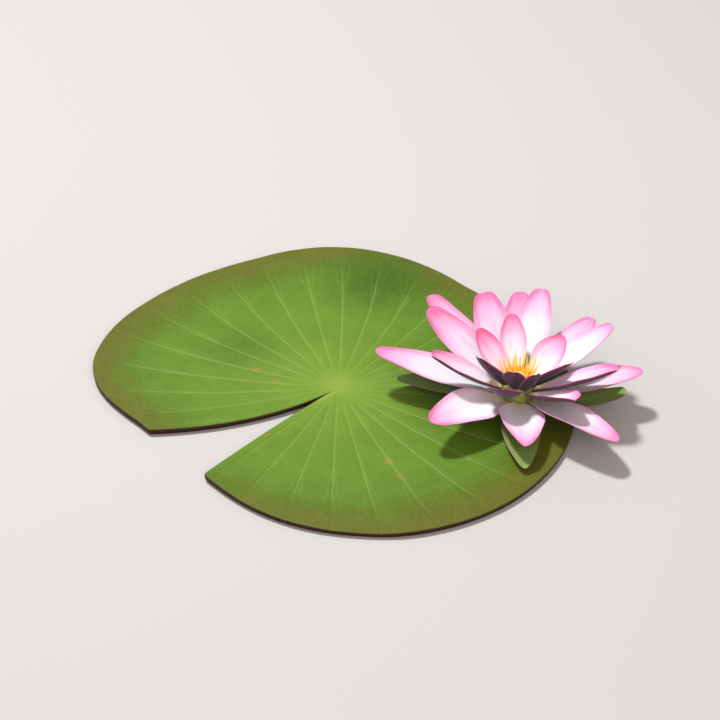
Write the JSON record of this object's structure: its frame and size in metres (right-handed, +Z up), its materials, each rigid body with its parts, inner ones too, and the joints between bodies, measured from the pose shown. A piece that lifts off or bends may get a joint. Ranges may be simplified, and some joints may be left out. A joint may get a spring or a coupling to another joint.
{
  "type": "water lily flower on its floating leaf",
  "caption": "Open pink water lily blossom with cupped petals and golden stamens, lying near the edge of its round, notched floating leaf.",
  "frame": {"origin": "where the veins of the leaf meet, taken on the leaf's flat underside", "axes": "+Z up out of the leaf's upper face, +X towards the flower, +Y towards the back, so that the leaf's notch opens towards -X and -Y"},
  "size_m": [0.2456, 0.2203, 0.0341],
  "materials": {
    "lily_pad": "waxy green leaf blade",
    "receptacle": "smooth pale green plant tissue",
    "sepal": "smooth green sepal",
    "outer_petal": "soft satin petal",
    "middle_petal": "soft satin petal",
    "inner_petal": "soft satin petal",
    "stamen": "waxy orange and yellow strap",
    "stigma": "waxy yellow disc"
  },
  "bodies": {
    "root": {"lily_pad": "lily_pad", "receptacle": "receptacle", "sepal_1": "sepal", "sepal_2": "sepal", "sepal_3": "sepal", "sepal_4": "sepal", "outer_petal_1": "outer_petal", "outer_petal_2": "outer_petal", "outer_petal_3": "outer_petal", "outer_petal_4": "outer_petal", "outer_petal_5": "outer_petal", "outer_petal_6": "outer_petal", "outer_petal_7": "outer_petal", "outer_petal_8": "outer_petal", "middle_petal_1": "middle_petal", "middle_petal_2": "middle_petal", "middle_petal_3": "middle_petal", "middle_petal_4": "middle_petal", "middle_petal_5": "middle_petal", "middle_petal_6": "middle_petal", "middle_petal_7": "middle_petal", "middle_petal_8": "middle_petal", "inner_petal_1": "inner_petal", "inner_petal_2": "inner_petal", "inner_petal_3": "inner_petal", "inner_petal_4": "inner_petal", "inner_petal_5": "inner_petal", "inner_petal_6": "inner_petal", "inner_petal_7": "inner_petal", "outer_stamens": "stamen", "inner_stamens": "stamen", "stigma_disc": "stigma"}
  },
  "joints": []
}
